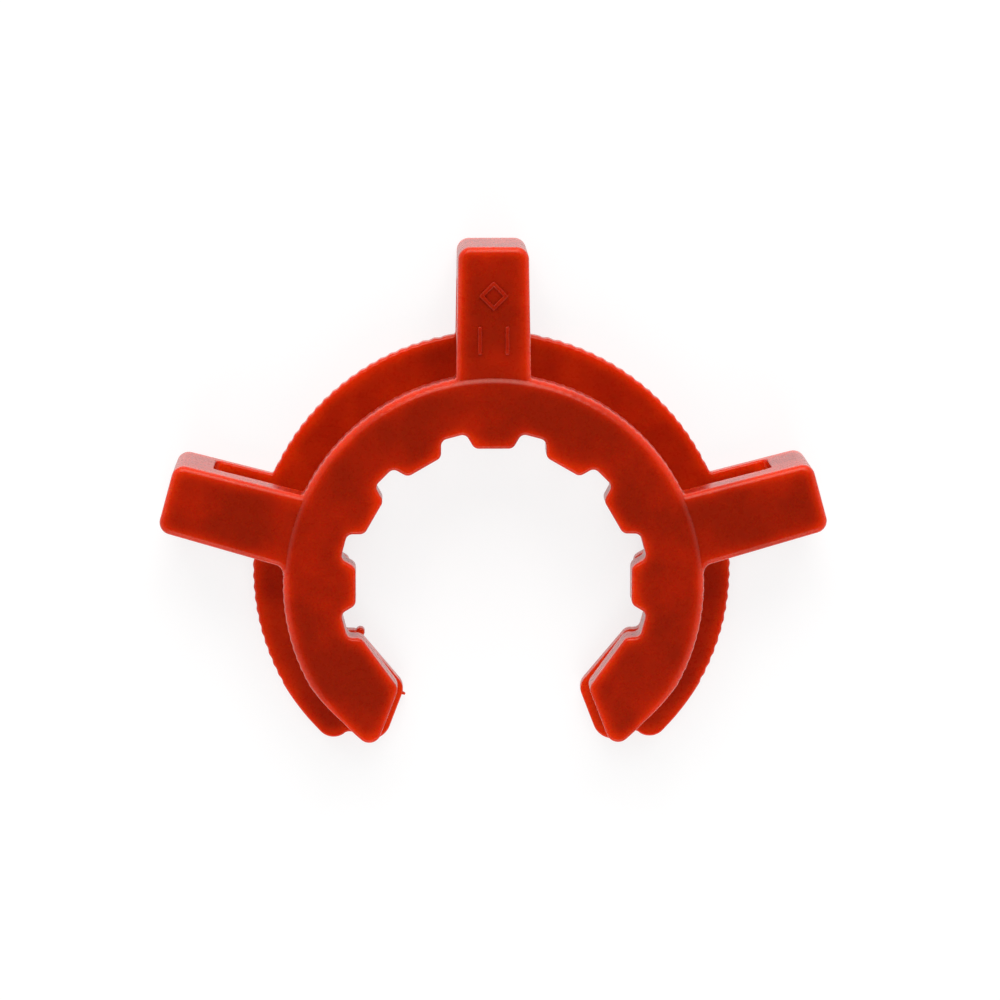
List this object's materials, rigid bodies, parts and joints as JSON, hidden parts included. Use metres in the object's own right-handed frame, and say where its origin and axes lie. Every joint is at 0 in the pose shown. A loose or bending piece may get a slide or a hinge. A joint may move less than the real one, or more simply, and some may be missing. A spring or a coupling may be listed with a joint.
{
  "type": "ground glass joint clip",
  "caption": "One-piece plastic spring clip: a small and a large toothed C-shaped ring, held apart by U-shaped arms, that keeps a conical ground glass joint together.",
  "frame": {"origin": "on the bore axis, in the plane of the back of the large ring, on which the clip lies", "axes": "+Z along the bore axis from the large ring to the small ring, +Y towards the arm opposite the mouth, -Y out of the mouth, +X across the clip"},
  "size_m": [0.0662, 0.051, 0.0135],
  "materials": {
    "clip_plastic": "injection-moulded acetal with a satin sheen"
  },
  "bodies": {
    "root": {"joint_clip": "clip_plastic"}
  },
  "joints": []
}
